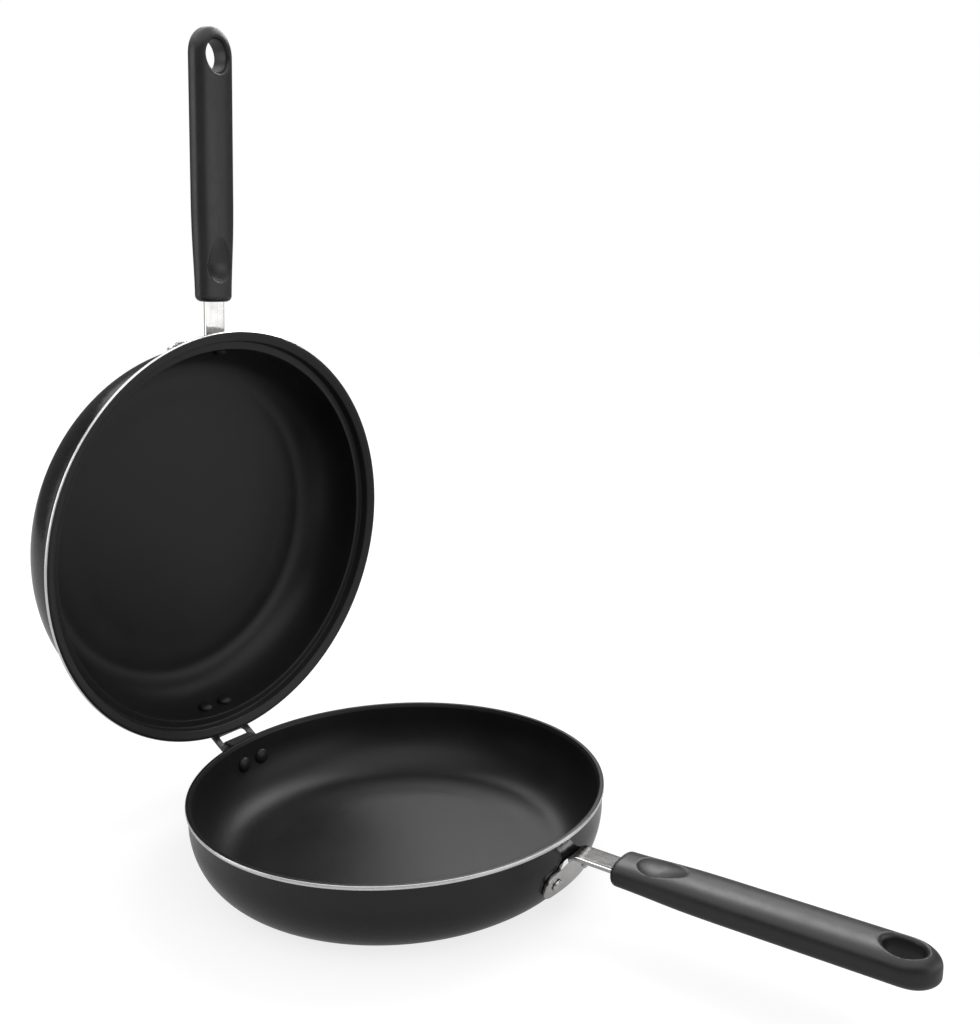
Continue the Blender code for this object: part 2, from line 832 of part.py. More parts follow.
clear_scene()
coated = material("coated_pan", (0.018, 0.018, 0.019), 0.35, 0.0)
steel = material("bright_steel", (0.62, 0.61, 0.60), 0.28, 1.0)
hinge_steel = material("dark_steel", (0.070, 0.068, 0.067), 0.36, 0.0)
bakelite = material("bakelite", (0.022, 0.022, 0.023), 0.42, 0.0)
add_pan("lower", lower, lower_side(), lower_pan_shape,
        add_lower_hinge_hook, hook_thickness, (lower_hinge_rivet_aside, lower_hinge_rivet_drop), 0.0, 0.0)
add_pan("upper", upper, upper_side(), upper_pan_shape,
        add_upper_hinge_loop, loop_thickness, (0.0, upper_hinge_rivet_drop), upper_handle_shift, upper_handle_tilt)
bpy.context.view_layer.update()
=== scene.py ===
"""Looks of the double sided flip pan: its pieces in full detail, their finishes, light and camera.

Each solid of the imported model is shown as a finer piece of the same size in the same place.
Lengths are metres, +Z is up. Each pan is described in its own pan frame: the middle of its rim
is the origin, the bowl hangs below and the handle points to +X.
"""

import math

import bmesh
import bpy
from mathutils import Matrix, Vector


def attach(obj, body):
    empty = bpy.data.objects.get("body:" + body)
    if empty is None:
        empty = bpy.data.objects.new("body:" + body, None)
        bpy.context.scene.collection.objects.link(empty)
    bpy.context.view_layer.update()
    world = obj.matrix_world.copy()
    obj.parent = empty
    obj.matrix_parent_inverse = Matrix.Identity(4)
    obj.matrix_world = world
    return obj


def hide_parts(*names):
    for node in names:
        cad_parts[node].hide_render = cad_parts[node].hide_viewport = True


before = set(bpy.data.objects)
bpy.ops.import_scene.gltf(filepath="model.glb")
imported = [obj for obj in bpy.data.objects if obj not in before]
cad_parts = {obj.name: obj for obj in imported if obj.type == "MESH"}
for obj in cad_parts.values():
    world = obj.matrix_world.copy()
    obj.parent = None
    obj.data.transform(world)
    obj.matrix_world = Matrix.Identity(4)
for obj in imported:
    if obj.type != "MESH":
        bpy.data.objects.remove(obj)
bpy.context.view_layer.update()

# Shared sizes, as in the part's source
gap = 0.0003
overrun = 0.004
wall = 0.0024
floor_thickness = 0.0034
edge_band = 0.0024
edge_round = 0.0004
lip_round = edge_round * 1.6
rim_land = 0.0014

# Lower pan, whose rim the other sizes across follow
lower_rim_radius = 0.1200
lower_height = 0.0445
lower_wall_radius = lower_rim_radius - edge_band / 2
lower_foot_run = 0.0258
lower_base_radius = lower_wall_radius - lower_foot_run
lower_corner_rise = 0.0330

# Upper pan, whose stepped collar sits over the lower rim: a ledge on the rim, a band, then a lip
ledge_hold = 0.0007
ledge_play = 0.0040
band_draft = 0.0007
lip_width = 0.0069
ledge_inner_radius = lower_rim_radius - ledge_hold
ledge_outer_radius = lower_rim_radius + ledge_play
upper_rim_radius = ledge_outer_radius + lip_width
ledge_depth = 0.0073
lip_depth = 0.0021
upper_height = 0.0510
upper_wall_radius = ledge_inner_radius + wall
upper_foot_run = 0.0222
upper_base_radius = upper_wall_radius - upper_foot_run
upper_corner_rise = 0.0360

# Inside of both pans
floor_step_inset = 0.0045
floor_step = 0.0006

# Hinge axis, behind the collar and below the lower rim, and how far the upper pan stands open
hinge_stand_off = 0.00714
hinge_reach = upper_rim_radius + hinge_stand_off
hinge_drop = 0.01074
open_angle = math.radians(84.1)

# Hinge plates
hinge_plate_half_width = 0.0146
hinge_plate_edge_round = 0.00028
hook_half_width = 0.0098
hook_thickness = 0.0017
loop_thickness = 0.0018
pivot_bar_radius = 0.0018
pivot_clearance = 0.00035
hook_curl_sweep = math.radians(285.0)
hook_shoulder_reach = 0.0076
hook_bend_radius = 0.0022
hook_base_foot = 0.0064
hook_base_half_width = 0.0191
hook_base_aside = 0.0045
hook_base_corner = 0.0022
hook_lip_clearance = 0.0002
loop_strap_length = 0.0114
loop_strap_angle = math.radians(60.9)
loop_heel_length = 0.0092
loop_base_top = 0.0150
loop_base_length = 0.0135
loop_base_corner = 0.0030
window_side_clearance = 0.0008
window_length = 0.0082
window_corner = 0.0024
hinge_rivet_half_spacing = 0.0080
lower_hinge_rivet_drop = 0.0146
lower_hinge_rivet_aside = 0.0091
upper_hinge_rivet_drop = 0.0200

# Rivets
head_stand = 0.0009
hinge_shank_radius = 0.0024
hinge_head_radius = 0.0048
hinge_head_rise = 0.0026
hinge_tail_radius = 0.0042
hinge_tail_rise = 0.0014
bracket_shank_radius = 0.0022
bracket_head_radius = 0.0042
bracket_head_rise = 0.0018
bracket_tail_radius = 0.0036
bracket_tail_rise = 0.0013

# Handle brackets
bracket_thickness = 0.0021
bracket_edge_round = 0.00035
ear_half_width = 0.0228
ear_bottom_drop = 0.0305
ear_top_drop = 0.0158
ear_rivet_half_spacing = 0.0142
ear_rivet_drop = 0.0232
ear_outline_shares = (
    (0.00, 0.66),
    (0.05, 0.80),
    (0.13, 0.90),
    (0.28, 0.98),
    (0.46, 1.00),
    (0.66, 0.985),
    (0.80, 0.93),
    (0.90, 0.84),
    (0.96, 0.72),
    (1.00, 0.57),
)
strap_half_width = 0.0070
strap_bend_radius = 0.0048
strap_drop = 0.0098
strap_slope = math.radians(1.6)
tang_drop = 0.0114
tang_length = 0.0240
upper_handle_shift = 0.0099
upper_handle_tilt = math.radians(1.0)

# Grips
strap_run = 0.0201
grip_root_reach = upper_wall_radius + strap_bend_radius + strap_run
grip_length = 0.1556
grip_root_drop = 0.0117
grip_tip_drop = 0.0125
grip_half_width = 0.0134
grip_root_half_width = 0.0119
grip_half_thickness = 0.0081
grip_root_half_thickness = 0.0068
grip_widen_share = 0.38
grip_thicken_share = 0.28
grip_root_round = 0.0036
grip_tip_reach = 0.0165
grip_tip_round = 0.0120
grip_tip_edge_share = 0.30
grip_tip_trim = 0.0004
grip_section_power = 2.7
hang_hole_from_tip = 0.0163
hang_hole_half_length = 0.0090
hang_hole_half_width = 0.0075
hang_hole_rim = 0.0027

# Thumb scoop, a hollow that starts steeply near the root and runs out towards the tip
scoop_from_root = 0.0108
scoop_length = 0.0290
scoop_half_width = 0.0100
scoop_depth = 0.0042
scoop_above = 0.0008
scoop_edge_round = 0.00025
scoop_widest_share = 0.32
scoop_deepest_share = 0.40
scoop_end_width_share = 0.3
scoop_run_out = 1.15

# Handle screws with their lock washers
screw_from_root = 0.0092
screw_head_radius = 0.0036
screw_head_height = 0.0024
screw_head_dome_share = 0.6
screw_shank_radius = 0.0019
screw_pocket_radius = 0.0046
screw_pocket_depth = 0.0038
screw_tip_above_tang = 0.0012
recess_length = screw_head_radius * 1.15
recess_width = screw_head_radius * 0.26
recess_turn = 0.4
washer_radius = 0.0041
washer_hole_radius = 0.0023
washer_thickness = 0.0009
washer_edge_round = 0.00012
washer_split_width = 0.0005
washer_split_turn = math.radians(35)

# How finely the pieces are cut
pan_steps = 240
corner_steps = 22
rivet_steps = 40
bar_steps = 24
plate_columns = 24
window_steps = 40
grip_steps = 96
grip_spacing = 0.0022
scoop_spacing = 0.0005
hang_hole_steps = 72

# Tool lines left by turning, from one ring to the next
edge_line_pitch = 2 * math.pi / 52000
base_groove_pitch = 0.0012
base_line_pitch = 0.00023


# Node helpers for the finishes


def new_material(name):
    """An empty Principled material and its shader."""
    made = bpy.data.materials.new(name)
    made.use_nodes = True
    return made, made.node_tree.nodes["Principled BSDF"]


def feed(made, socket, value):
    """Links an input to a value that is a socket, and sets it to any other value."""
    if isinstance(value, bpy.types.NodeSocket):
        made.node_tree.links.new(value, socket)
    else:
        socket.default_value = value


def add_node(made, kind, settings=None, **inputs):
    """Adds a node with its properties, and feeds the inputs that are named."""
    node = made.node_tree.nodes.new(kind)
    for key, value in (settings or {}).items():
        setattr(node, key, value)
    for key, value in inputs.items():
        feed(made, node.inputs[key.replace("_", " ")], value)
    return node


def object_place(made):
    """Socket of the place on the piece, in metres."""
    return add_node(made, "ShaderNodeTexCoord").outputs["Object"]


def noise(made, scale, detail=3.0, roughness=0.55, stretch=None):
    """Socket of a noise value from 0 to 1, of another scale along each axis if stretch says so."""
    place = object_place(made)
    if stretch:
        place = add_node(made, "ShaderNodeMapping", Vector=place, Scale=stretch).outputs["Vector"]
    texture = {"Scale": scale, "Detail": detail, "Roughness": roughness}
    return add_node(made, "ShaderNodeTexNoise", Vector=place, **texture).outputs["Fac"]


def remap(made, value, low, high, new_low=0.0, new_high=1.0):
    """Socket that carries a value from one range to another, kept inside it."""
    ranges = {"From_Min": low, "From_Max": high, "To_Min": new_low, "To_Max": new_high}
    return add_node(made, "ShaderNodeMapRange", Value=value, **ranges).outputs["Result"]


def calculate(made, operation, *values):
    """Socket of an operation on values."""
    node = add_node(made, "ShaderNodeMath", {"operation": operation})
    for socket, value in zip(node.inputs, values):
        feed(made, socket, value)
    return node.outputs[0]


def total(made, *values):
    """Socket of the sum of values."""
    result = values[0]
    for value in values[1:]:
        result = calculate(made, "ADD", result, value)
    return result


def blend_colours(made, share, first, second):
    """Socket of a colour between two, each of them a colour or a socket."""
    node = add_node(made, "ShaderNodeMix", {"data_type": "RGBA"}, Factor=share)
    for socket, colour in zip(node.inputs[6:8], (first, second)):
        feed(made, socket, (*colour, 1) if isinstance(colour, tuple) else colour)
    return node.outputs[2]


def colour_by(made, shader, share, first, second):
    """Lets the base colour run from one colour to another."""
    feed(made, shader.inputs["Base Color"], blend_colours(made, share, first, second))


def roughness_by(made, shader, *values):
    """Lets the roughness be a sum of values."""
    feed(made, shader.inputs["Roughness"], total(made, *values))


def add_bump(made, shader, *heights):
    """Bumps of (height socket, distance in metres) pairs, one on the other."""
    normal = None
    for height, distance in heights:
        node = add_node(made, "ShaderNodeBump", Strength=1.0, Distance=distance, Height=height)
        if normal:
            feed(made, node.inputs["Normal"], normal)
        normal = node.outputs["Normal"]
    feed(made, shader.inputs["Normal"], normal)


def distance_from_middle(made, place):
    """Socket of the distance of a place from the Z axis."""
    split = add_node(made, "ShaderNodeSeparateXYZ", Vector=place)
    x, y = split.outputs["X"], split.outputs["Y"]
    squares = calculate(made, "MULTIPLY", x, x), calculate(made, "MULTIPLY", y, y)
    return calculate(made, "SQRT", total(made, *squares))


def pan_distance(made):
    """Socket of the distance from the pan's own middle, from its plan map."""
    plan = add_node(made, "ShaderNodeUVMap", {"uv_map": "plan"}).outputs["UV"]
    return distance_from_middle(made, plan)


def tool_lines(made, distance, pitch):
    """Socket of the height, from -1 to 1, of the rings that turning leaves a pitch apart."""
    return calculate(made, "SINE", calculate(made, "MULTIPLY", distance, 2 * math.pi / pitch))


# Finishes


def nonstick_coating():
    """Matte charcoal non-stick coat: fine sprayed grain, faint cloudiness and uneven polish."""
    made, shader = new_material("nonstick_coating")
    grain = noise(made, 1500, 4, 0.65)
    cloud = noise(made, 26, 3, 0.5)
    mist = noise(made, 420, 2, 0.5)
    shades = calculate(made, "MULTIPLY", grain, 0.55), calculate(made, "MULTIPLY", cloud, 0.45)
    tone = remap(made, total(made, *shades), 0.30, 0.70)
    colour_by(made, shader, tone, (0.0078, 0.0078, 0.0080), (0.0150, 0.0149, 0.0148))
    cloud_polish = remap(made, cloud, 0.3, 0.7, 0.0, 0.05)
    grain_polish = remap(made, grain, 0.3, 0.7, 0.0, 0.06)
    roughness_by(made, shader, cloud_polish, grain_polish, 0.36)
    shader.inputs["Specular IOR Level"].default_value = 0.38
    add_bump(made, shader, (grain, 0.000035), (mist, 0.00005))
    return made


def black_enamel():
    """Gloss black enamel of the outside, with a little orange peel and dust specks."""
    made, shader = new_material("black_enamel")
    peel = noise(made, 260, 2, 0.4)
    speck = noise(made, 2600, 1, 0.5)
    tone = remap(made, noise(made, 18, 3, 0.5), 0.3, 0.7)
    colour_by(made, shader, tone, (0.0055, 0.0055, 0.006), (0.0095, 0.0095, 0.0098))
    dust = remap(made, speck, 0.62, 0.70, 0.0, 0.10)
    roughness_by(made, shader, remap(made, peel, 0.3, 0.7, 0.17, 0.23), dust)
    shader.inputs["Specular IOR Level"].default_value = 0.5
    add_bump(made, shader, (peel, 0.00006), (speck, 0.000008))
    return made


def turned_edge():
    """Bare aluminium of the rim's turned edge, with fine tool lines that run round it."""
    made, shader = new_material("turned_edge")
    shader.inputs["Metallic"].default_value = 1.0
    lines = tool_lines(made, pan_distance(made), edge_line_pitch)
    smear = noise(made, 60, 3, 0.6)
    scuff = noise(made, 900, 3, 0.6)
    tone = remap(made, smear, 0.3, 0.7)
    colour_by(made, shader, tone, (0.80, 0.80, 0.81), (0.93, 0.93, 0.93))
    roughness_by(made, shader, remap(made, scuff, 0.3, 0.7, 0.26, 0.36))
    add_bump(made, shader, (lines, 0.000003), (scuff, 0.000004))
    return made


def turned_base():
    """Bare aluminium underside with the lathe's concentric grooves, and faint heat staining."""
    made, shader = new_material("turned_base")
    shader.inputs["Metallic"].default_value = 1.0
    distance = pan_distance(made)
    groove = tool_lines(made, distance, base_groove_pitch)
    fine_line = tool_lines(made, distance, base_line_pitch)
    stain = noise(made, 14, 4, 0.6)
    scuff = noise(made, 700, 3, 0.6)
    tone = remap(made, stain, 0.35, 0.70)
    colour_by(made, shader, tone, (0.62, 0.61, 0.60), (0.50, 0.465, 0.42))
    roughness_by(made, shader, remap(made, scuff, 0.3, 0.7, 0.30, 0.46))
    add_bump(made, shader, (groove, 0.00008), (fine_line, 0.000010), (scuff, 0.00001))
    return made


def pressed_steel():
    """Polished pressed steel of the handle brackets: rolling lines, smears and a few scuffs."""
    made, shader = new_material("pressed_steel")
    shader.inputs["Metallic"].default_value = 1.0
    rolling = noise(made, 240, 4, 0.6, stretch=(0.06, 5.0, 0.06))
    smear = noise(made, 75, 3, 0.5)
    scuff = noise(made, 1300, 2, 0.5)
    tone = remap(made, smear, 0.32, 0.68)
    colour_by(made, shader, tone, (0.56, 0.55, 0.54), (0.74, 0.73, 0.72))
    rolled = remap(made, rolling, 0.3, 0.7, 0.11, 0.17)
    scuffed = remap(made, scuff, 0.60, 0.75, 0.0, 0.12)
    roughness_by(made, shader, rolled, scuffed)
    add_bump(made, shader, (rolling, 0.000015), (scuff, 0.000010))
    return made


def dark_hinge_steel():
    """Coated steel of the hinge plates, with specks where the coat has chipped through."""
    made, shader = new_material("dark_hinge_steel")
    grain = noise(made, 1100, 3, 0.6)
    chips = noise(made, 1900, 2, 0.5)
    cloud = noise(made, 120, 3, 0.5)
    chipped = remap(made, chips, 0.70, 0.73)
    tone = remap(made, total(made, grain, cloud), 0.7, 1.3)
    coated = blend_colours(made, tone, (0.034, 0.033, 0.033), (0.075, 0.073, 0.072))
    colour_by(made, shader, chipped, coated, (0.55, 0.54, 0.53))
    feed(made, shader.inputs["Metallic"], calculate(made, "MULTIPLY", chipped, 0.9))
    roughness_by(made, shader, remap(made, grain, 0.3, 0.7, 0.34, 0.46))
    shader.inputs["Specular IOR Level"].default_value = 0.6
    add_bump(made, shader, (grain, 0.00003))
    return made


def phenolic():
    """Black moulded phenolic of the grips: satin, with a fine grain and a faint flow mottle."""
    made, shader = new_material("phenolic")
    grain = noise(made, 1700, 3, 0.6)
    flow = noise(made, 48, 4, 0.55)
    wear = noise(made, 210, 3, 0.55)
    mottle = total(made, flow, calculate(made, "MULTIPLY", grain, 0.4))
    tone = remap(made, mottle, 0.45, 0.95)
    colour_by(made, shader, tone, (0.0115, 0.0115, 0.012), (0.021, 0.021, 0.0215))
    worn = remap(made, wear, 0.3, 0.7, 0.34, 0.42)
    roughness_by(made, shader, worn, remap(made, grain, 0.3, 0.7, 0.0, 0.05))
    shader.inputs["Specular IOR Level"].default_value = 0.58
    add_bump(made, shader, (grain, 0.000022), (wear, 0.00003))
    return made


def plated_steel():
    """Zinc plated steel of screws and washers, a little clouded."""
    made, shader = new_material("plated_steel")
    shader.inputs["Metallic"].default_value = 1.0
    cloud = noise(made, 380, 3, 0.6)
    scuff = noise(made, 2200, 2, 0.5)
    tone = remap(made, cloud, 0.3, 0.7)
    colour_by(made, shader, tone, (0.52, 0.53, 0.55), (0.68, 0.67, 0.63))
    roughness_by(made, shader, remap(made, scuff, 0.3, 0.7, 0.24, 0.40))
    add_bump(made, shader, (scuff, 0.00001))
    return made


# Shapes


class Pan:
    """Outside and inside outline of a pan in its pan frame, where z is minus the drop."""

    def __init__(self, height, base_radius, wall_radius, corner_rise):
        self.height = height
        self.base_radius = base_radius
        self.wall_radius = wall_radius
        self.corner_rise = corner_rise

    def outer_corner(self):
        """Points from the edge of the flat base up round the corner to the wall."""
        run = self.wall_radius - self.base_radius
        return corner(self.base_radius, run, -self.height, self.corner_rise)

    def inner_corner(self):
        """The same corner inside, a wall and a floor thickness further in."""
        inner_base = self.base_radius - wall
        run = self.wall_radius - wall - inner_base
        rise = self.corner_rise - floor_thickness / 2
        return corner(inner_base, run, -self.height + floor_thickness, rise)

    def outer_radius(self, drop):
        """Radius of the outside at a drop below the rim."""
        height = self.height - drop
        return quarter_radius(self.base_radius, self.wall_radius, self.corner_rise, height)

    def inner_radius(self, drop):
        """Radius of the inside at a drop below the rim."""
        height = self.height - floor_thickness - drop
        rise = self.corner_rise - floor_thickness / 2
        return quarter_radius(self.base_radius - wall, self.wall_radius - wall, rise, height)

    def lean(self, drop):
        """Angle by which the outside leans outward from the vertical at that drop."""
        run = self.outer_radius(drop - edge_round) - self.outer_radius(drop + edge_round)
        return math.atan2(run, 2 * edge_round)

    def wall_depth(self, drop):
        """Thickness of the wall along its own normal at that drop, found in a few rounds."""
        lean = self.lean(drop)
        depth = wall
        for _ in range(16):
            inside = self.inner_radius(drop - depth * math.sin(lean))
            depth = (self.outer_radius(drop) - inside) / math.cos(lean)
        return depth

    def seat(self, across, drop, out=0.0):
        """Matrix of a place on the outer wall, +Z along the outward normal there."""
        turn = Matrix.Rotation(math.asin(across / self.outer_radius(drop)), 4, "Z")
        reach = Matrix.Translation((self.outer_radius(drop), 0, -drop))
        tilt = Matrix.Rotation(math.pi / 2 + self.lean(drop), 4, "Y")
        return turn @ reach @ tilt @ Matrix.Translation((0, 0, out))


def quarter_radius(base_radius, wall_radius, rise, height):
    """Radius at a height above the floor of a wall whose foot is a quarter ellipse."""
    if height >= rise:
        return wall_radius
    share = 1 - max(height, 0.0) / rise
    return base_radius + (wall_radius - base_radius) * math.sqrt(1 - share * share)


def corner(base_radius, run, base_z, rise):
    """Quarter ellipse from the base edge up to the wall, as (radius, z) points."""
    points = []
    for step in range(corner_steps + 1):
        angle = math.pi / 2 * step / corner_steps
        points.append((base_radius + run * math.sin(angle), base_z + rise * (1 - math.cos(angle))))
    return points


def smooth_step(share):
    """Eases a share from 0 to 1."""
    share = min(max(share, 0.0), 1.0)
    return share * share * (3 - 2 * share)


def soften(points, radius, steps=4):
    """Rounds each inner point of an outline with an arc-like curve of about that radius."""
    made = [points[0]]
    for before, here, after in zip(points, points[1:], points[2:]):
        here_v, before_v, after_v = Vector(here), Vector(before), Vector(after)
        back = min(radius, (before_v - here_v).length * 0.45)
        on = min(radius, (after_v - here_v).length * 0.45)
        first = here_v + (before_v - here_v).normalized() * back
        last = here_v + (after_v - here_v).normalized() * on
        for step in range(steps + 1):
            t = step / steps
            made.append(tuple(first * (1 - t) ** 2 + here_v * 2 * t * (1 - t) + last * t ** 2))
    made.append(points[-1])
    return made


def turned(bm, outline, steps):
    """Turns an outline of (radius, z) points about Z."""
    verts = [bm.verts.new((radius, 0, z)) for radius, z in outline]
    edges = [bm.edges.new(pair) for pair in zip(verts, verts[1:])]
    bmesh.ops.spin(
        bm,
        geom=verts + edges,
        cent=(0, 0, 0),
        axis=(0, 0, 1),
        angle=2 * math.pi,
        steps=steps,
        use_merge=True,
    )
    bmesh.ops.remove_doubles(bm, verts=bm.verts, dist=0.000002)


def loft(bm, rings, segments):
    """Joins rings, each a function from an angle to a point, and closes both ends."""
    loops = []
    for ring in rings:
        made = bmesh.ops.create_circle(bm, segments=segments, radius=1)
        for vert in made["verts"]:
            vert.co = ring(math.atan2(vert.co.y, vert.co.x))
        loops.append(list({edge for vert in made["verts"] for edge in vert.link_edges}))
    for first, second in zip(loops, loops[1:]):
        bmesh.ops.bridge_loops(bm, edges=first + second)
    for loop in (loops[0], loops[-1]):
        bmesh.ops.contextual_create(bm, geom=loop)


def bent_strip(bm, path, columns, wall_radius):
    """A sheet that follows rows of (reach, z, half width, hug), with a shift aside in some.

    A row with a hug of 1 follows the round wall, and a row with a hug of 0 is straight.
    """
    rows = len(path)
    made = bmesh.ops.create_grid(bm, x_segments=rows - 1, y_segments=columns, size=1)
    for vert in made["verts"]:
        reach, z, half_width, hug, *aside = path[round((vert.co.x + 1) / 2 * (rows - 1))]
        across = vert.co.y * half_width + sum(aside)
        sag = wall_radius - math.sqrt(wall_radius ** 2 - across ** 2)
        vert.co = Vector((reach - sag * hug, across, z))


def finer(path, parts=3):
    """Adds rows between the rows of a path on a smooth curve through them."""
    made = []
    for index in range(len(path) - 1):
        p0 = path[max(index - 1, 0)]
        p1, p2 = path[index], path[index + 1]
        p3 = path[min(index + 2, len(path) - 1)]
        for part in range(parts):
            t = part / parts
            row = []
            for a, b, c, d in zip(p0, p1, p2, p3):
                curve = 2 * b + (c - a) * t
                curve += (2 * a - 5 * b + 4 * c - d) * t ** 2
                curve += (3 * b - a - 3 * c + d) * t ** 3
                row.append(curve / 2)
            made.append(tuple(row))
    made.append(path[-1])
    return made


# Making pieces


def new_object(name, shape, place):
    """A linked object from a bmesh shape, its place in its mesh and its plan in a UV map."""
    bm = bmesh.new()
    shape(bm)
    bmesh.ops.recalc_face_normals(bm, faces=bm.faces)
    plan = bm.loops.layers.uv.new("plan")
    for face in bm.faces:
        for loop in face.loops:
            loop[plan].uv = (loop.vert.co.x, loop.vert.co.y)
    bmesh.ops.transform(bm, matrix=place, verts=bm.verts)
    mesh = bpy.data.meshes.new(name)
    bm.to_mesh(mesh)
    bm.free()
    item = bpy.data.objects.new(name, mesh)
    bpy.context.scene.collection.objects.link(item)
    return item


def settle(item):
    """Makes a piece's modifiers part of its mesh."""
    bpy.context.view_layer.update()
    graph = bpy.context.evaluated_depsgraph_get()
    mesh = bpy.data.meshes.new_from_object(item.evaluated_get(graph))
    item.modifiers.clear()
    item.data = mesh


def combine(item, tools, operation="DIFFERENCE"):
    """Takes the shapes of tools out of a piece, or joins them to it, and removes the tools."""
    for tool in tools:
        step = item.modifiers.new("combine", "BOOLEAN")
        step.operation = operation
        step.solver = "EXACT"
        step.object = tool
    settle(item)
    for tool in tools:
        bpy.data.objects.remove(tool, do_unlink=True)


def thicken(item, thickness):
    """Gives a sheet its thickness, half to each side."""
    step = item.modifiers.new("sheet_thickness", "SOLIDIFY")
    step.thickness = thickness
    step.offset = 0
    step.use_even_offset = True
    settle(item)


def soften_edges(item, width):
    """Rounds the sharp edges of a piece."""
    step = item.modifiers.new("soft_edges", "BEVEL")
    step.width = width
    step.segments = 2
    step.limit_method = "ANGLE"
    step.angle_limit = math.radians(38.0)
    step.harden_normals = False
    settle(item)


def dress(item, nodes, body, finishes, choose=None, angle=math.radians(35.0)):
    """Gives a piece its finishes and shading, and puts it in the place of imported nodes."""
    item.data.materials.clear()
    for finish in finishes:
        item.data.materials.append(finish)
    for face in item.data.polygons:
        face.material_index = choose(face) if choose else 0
    item.data.shade_smooth()
    item.data.set_sharp_from_angle(angle=angle)
    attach(item, body)
    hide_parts(*nodes)


# The pans


def floor_outline(pan):
    """Inside points of the floor, which sinks a little towards the middle."""
    floor_z = -pan.height + floor_thickness
    edge = pan.base_radius - wall - floor_step_inset / 2
    rows = 8
    points = []
    for row in range(rows + 1):
        share = row / rows
        radius = edge - 4 * floor_step_inset * share
        points.append((radius, floor_z - floor_step * smooth_step(share)))
    return points + [(0, floor_z - floor_step)]


def bare_band(radius):
    """The turned edge up its outer face: a lower facet, a fine groove and an upper facet."""
    groove = edge_round / 3
    middle = -edge_band * 0.36
    return [
        (radius - edge_round * 0.5, -edge_band + edge_round * 0.3),
        (radius, -edge_band + edge_round),
        (radius, middle - groove),
        (radius - groove, middle),
        (radius - groove * 0.4, middle + groove),
        (radius - groove, -edge_round * 0.9),
    ]


def lower_pan_outline():
    """Outline of the lower pan from the middle of its underside to the middle of its floor."""
    outer = lower.outer_corner()
    inner = list(reversed(lower.inner_corner())) + floor_outline(lower)
    rim = [outer[-1], (lower.wall_radius, -edge_band)] + bare_band(lower_rim_radius)
    rim += [
        (lower_rim_radius - lip_round, 0),
        (lower_rim_radius - wall, 0),
        (lower.wall_radius - wall, -edge_band),
        inner[0],
    ]
    return [(0, -lower.height)] + outer + soften(rim, edge_round)[1:-1] + inner


def upper_pan_outline():
    """Outline of the upper pan, whose rim steps out into a collar over the lower rim."""
    outer = upper.outer_corner()
    inner = list(reversed(upper.inner_corner())) + floor_outline(upper)
    back = -ledge_depth - wall
    collar = [
        outer[-1],
        (upper.wall_radius, back),
        (ledge_outer_radius + wall, back),
        (ledge_outer_radius + wall + band_draft, -lip_depth - wall),
        (upper_rim_radius - edge_round, -edge_band),
    ]
    collar += bare_band(upper_rim_radius)
    collar += [
        (upper_rim_radius - lip_round, 0),
        (upper_rim_radius - rim_land - edge_round, 0),
        (ledge_outer_radius + band_draft, -lip_depth),
        (ledge_outer_radius, -ledge_depth),
        (ledge_inner_radius, -ledge_depth),
        inner[0],
    ]
    return [(0, -upper.height)] + outer + soften(collar, lip_round)[1:-1] + inner


def pan_finish(pan, rim_radius, place):
    """Chooses a pan face's finish: coat inside, bare edge, enamel outside or turned underside."""
    inside, edge, outside, underneath = range(4)
    back = place.inverted()
    turn = back.to_3x3()

    def choose(face):
        centre = back @ face.center
        normal = turn @ face.normal
        radius = math.hypot(centre.x, centre.y)
        outward = (normal.x * centre.x + normal.y * centre.y) / max(radius, 0.001)
        if centre.z < -pan.height + 0.0002 and radius < pan.base_radius - 0.001:
            return underneath
        on_band = -edge_band + edge_round * 0.2 < centre.z < -edge_round * 0.5
        if on_band and radius > rim_radius - edge_round * 1.1 and outward > 0.3:
            return edge
        return outside if outward > 0.25 or normal.z < -0.3 else inside

    return choose


def make_pan(name, outline, pan, rim_radius, place, body):
    """A whole pan as one turned piece."""

    def shape(bm):
        turned(bm, outline, pan_steps)

    item = new_object(name + "_body", shape, place)
    finishes = (coat, bare_edge, enamel, underside)
    dress(item, [name], body, finishes, pan_finish(pan, rim_radius, place))


# Rivets


def dome(radius, rise):
    """Points of a domed head from its middle down to its rim."""
    rows = 9
    points = []
    for row in range(rows + 1):
        angle = math.pi / 2 * row / rows
        points.append((radius * math.sin(angle), rise * math.cos(angle)))
    return points


def set_tail(radius, rise):
    """Points of a set rivet tail from its dished middle to its rim."""
    points = [
        (0, rise * 0.80),
        (radius * 0.34, rise * 0.82),
        (radius * 0.55, rise * 0.98),
        (radius * 0.80, rise),
        (radius * 0.97, rise * 0.62),
        (radius, rise * 0.22),
        (radius * 0.97, 0),
    ]
    return soften(points, radius * 0.2, 3)


def make_rivets(pan, names, offsets, drop, plate, sizes, place, body, tail_shape, finishes):
    """Rivets through the wall and a plate: a domed head inside the pan, a tail on the plate."""
    shank_radius, head, tail = sizes
    wall_depth = pan.wall_depth(drop)
    depth = head_stand + wall_depth + gap + plate + gap
    under_head = head_stand * 0.9

    def shape(bm):
        inner = [(radius, -z) for radius, z in dome(*head)]
        shank = [(head[0], under_head), (shank_radius, under_head), (shank_radius, depth)]
        outer = [(radius, depth + z) for radius, z in tail_shape(*tail)]
        turned(bm, inner + shank + list(reversed(outer)), rivet_steps)

    for name, offset in zip(names, offsets):
        seat = place @ pan.seat(offset, drop, -wall_depth - head_stand)
        item = new_object(name + "_piece", shape, seat)
        back = seat.inverted()

        def choose(face, back=back):
            return 0 if (back @ face.center).z < depth / 2 else 1

        dress(item, [name], body, finishes, choose)


# Hinge plates


def hook_shoulder_z():
    """Height of the middle of the hook's shoulders, just under the closed upper pan's lip."""
    return -ledge_depth - hook_lip_clearance - hook_thickness / 2


